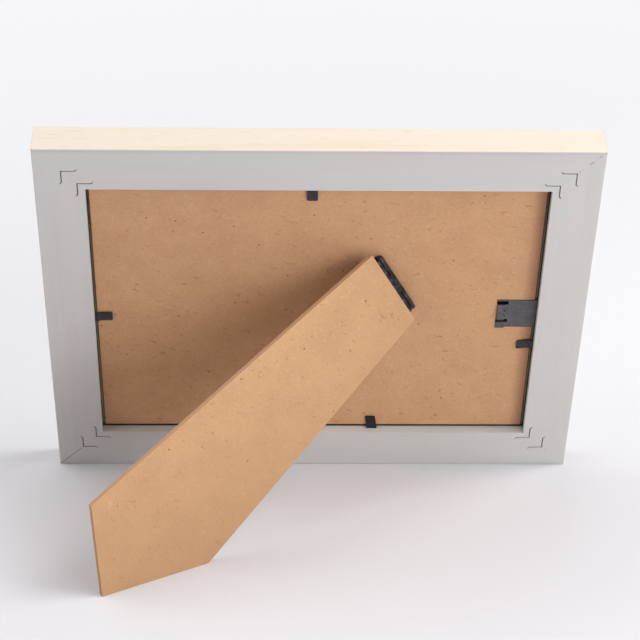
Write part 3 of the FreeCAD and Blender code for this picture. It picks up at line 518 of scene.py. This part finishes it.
def make_strip(side, material):
    """One mesh through a tab's root and blade, which bends between the frame and the blade."""
    root = frame["nodes"][side + "_tab_root"].data.vertices
    blade = frame["nodes"][side + "_tab"].data.vertices
    joint = [joint for joint in frame["joints"] if joint["name"] == side + "_tab_bend"][0]
    origin = Vector(joint["pos_m"])
    along = -Vector(joint["axis"])
    inwards = along.cross(BACK_NORMAL)
    place = Matrix((along, BACK_NORMAL, inwards)).transposed()
    to_local = place.inverted()
    root_points = [to_local @ (vertex.co - origin) for vertex in root]
    blade_points = [to_local @ (vertex.co - origin) for vertex in blade]

    half_width = max(point.x for point in root_points)
    deep = min(point.z for point in root_points)
    far = max(point.z for point in blade_points)
    half_sheet = max(point.y for point in blade_points)
    drop = -half_sheet - min(point.y for point in blade_points)
    levels = sorted({round(point.z / MM, 3) * MM for point in blade_points})
    land, flat, cut = levels[1], levels[2], levels[-2]
    tip = [point.x for point in blade_points if point.z > far - 0.01 * MM]
    skew = (max(tip) + min(tip)) / 2
    tip_half = (max(tip) - min(tip)) / 2
    shoulder = min(point.z for point in root_points if abs(point.x) > half_width * 0.99)

    stations = [deep, (deep + shoulder) / 2, shoulder, -2 * BEND_REACH]
    stations += [BEND_REACH * (2 * step / BEND_STEPS - 1) for step in range(BEND_STEPS + 1)]
    stations += [land + (flat - land) * step / TIP_STEPS for step in range(TIP_STEPS + 1)]
    stations += [cut + (far - cut) * step / TIP_STEPS for step in range(TIP_STEPS + 1)]

    mesh = bmesh.new()
    rings = []
    for station in sorted(set(stations)):
        share = min(max((station - land) / (flat - land), 0.0), 1.0)
        height = -drop * share * share * (3 - 2 * share)
        shift = skew * max(station, 0.0) / cut
        half = half_width
        if station < shoulder:
            half = max(half_width * (station - deep) / (shoulder - deep), half_sheet)
        if station > cut:
            turn = (station - cut) / (far - cut)
            half = tip_half + (half_width - tip_half) * math.sqrt(max(1 - turn * turn, 0.0))
        ring = []
        for x, y in rounded_section(half, half_sheet):
            ring.append(mesh.verts.new(origin + place @ Vector((min(shift, skew) + x, height + y, station))))
        rings.append(ring)
    count = len(rings[0])
    for first, second in zip(rings, rings[1:]):
        for index in range(count):
            after = (index + 1) % count
            mesh.faces.new((first[index], first[after], second[after], second[index]))
    mesh.faces.new(rings[0])
    mesh.faces.new(rings[-1])
    bmesh.ops.recalc_face_normals(mesh, faces=mesh.faces)
    data = bpy.data.meshes.new(side + "_tab_strip")
    mesh.to_mesh(data)
    mesh.free()
    data.materials.append(material)
    strip = bpy.data.objects.new(side + "_tab_strip", data)
    bpy.context.scene.collection.objects.link(strip)
    data.polygons.foreach_set("use_smooth", [True] * len(data.polygons))
    data.set_sharp_from_angle(angle=math.radians(40))
    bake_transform(strip)
    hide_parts(side + "_tab_root", side + "_tab")


# The bottom tab takes the darker copy of the tab steel, as painted shade.
for side in ("top", "bottom", "left", "right"):
    make_strip(side, shaded_tab_steel if side == "bottom" else tab_steel)


# Stage

FLOOR_NEAR = tone(210, 209, 213)
FLOOR_FAR = tone(229, 230, 232)
BACKDROP = tone(247, 246, 249)
FADE = (0.25, 0.8)
FLOOR_CHANGE = (-0.75, 0.2)
FLOOR_SIZE = 12.0

WORLD_STRENGTH = 0.09
LAMP_DISTANCE = 1.3
LAMP_TARGET = (0, 0, 0.08)
# Name, direction from the target, size in metres and power in watts.
LAMPS = (
    ("key_lamp", (-0.66, 0.73, 0.18), 1.0, 13.4),
    ("right_lamp", (-0.7, 0.1, 0.7), 0.8, 15.0),
    ("front_lamp", (0.15, -0.6, 0.6), 1.5, 7.0),
    ("left_lamp", (0.7, 0.1, 0.7), 1.5, 14.0),
)


def make_floor():
    bpy.ops.mesh.primitive_plane_add(size=FLOOR_SIZE)
    floor = bpy.context.object
    floor.name = "floor"
    surface = Surface("pale_floor", roughness=0.9, Specular_IOR_Level=0.1)
    x, y, _ = surface.split(surface.place)
    surface.colour(surface.mix(surface.step(y, *FLOOR_CHANGE), FLOOR_FAR, FLOOR_NEAR))
    away = surface.math("SQRT", surface.math("ADD", surface.times(x, x), surface.times(y, y)))
    rays = surface.nodes.new("ShaderNodeLightPath")
    share = surface.times(surface.step(away, *FADE), rays.outputs["Is Camera Ray"])
    glow = surface.nodes.new("ShaderNodeEmission")
    glow.inputs["Color"].default_value = BACKDROP
    blend = surface.nodes.new("ShaderNodeMixShader")
    surface.put(blend.inputs[0], share)
    surface.links.new(surface.shader.outputs[0], blend.inputs[1])
    surface.links.new(glow.outputs[0], blend.inputs[2])
    surface.links.new(blend.outputs[0], surface.output.inputs["Surface"])
    floor.data.materials.append(surface.material)


def make_world():
    world = bpy.data.worlds.new("studio")
    world.use_nodes = True
    nodes = world.node_tree.nodes
    links = world.node_tree.links
    background = nodes["Background"]
    background.inputs["Color"].default_value = BACKDROP
    rays = nodes.new("ShaderNodeLightPath")
    seen = nodes.new("ShaderNodeMath")
    seen.operation = "MAXIMUM"
    links.new(rays.outputs["Is Camera Ray"], seen.inputs[0])
    links.new(rays.outputs["Is Transmission Ray"], seen.inputs[1])
    level = nodes.new("ShaderNodeMapRange")
    level.inputs["To Min"].default_value = WORLD_STRENGTH
    level.inputs["To Max"].default_value = 1.0
    links.new(seen.outputs[0], level.inputs["Value"])
    links.new(level.outputs[0], background.inputs["Strength"])
    bpy.context.scene.world = world


def make_lamp(name, direction, size, power):
    """A soft square lamp in that direction from the target, aimed at it."""
    light = bpy.data.lights.new(name, "AREA")
    light.shape = "SQUARE"
    light.size = size
    light.energy = power
    lamp = bpy.data.objects.new(name, light)
    bpy.context.scene.collection.objects.link(lamp)
    away = Vector(direction).normalized()
    lamp.location = Vector(LAMP_TARGET) + away * LAMP_DISTANCE
    lamp.rotation_euler = away.to_track_quat("Z", "Y").to_euler()


def make_camera():
    data = bpy.data.cameras.new("camera")
    data.lens = CAMERA_LENS
    data.sensor_width = SENSOR
    camera = bpy.data.objects.new("camera", data)
    camera.location = CAMERA_PLACE
    camera.rotation_euler = [math.radians(angle) for angle in CAMERA_TURN]
    bpy.context.scene.collection.objects.link(camera)
    bpy.context.scene.camera = camera


make_floor()
make_world()
for lamp_settings in LAMPS:
    make_lamp(*lamp_settings)
make_camera()
bpy.context.scene.view_settings.view_transform = "Standard"
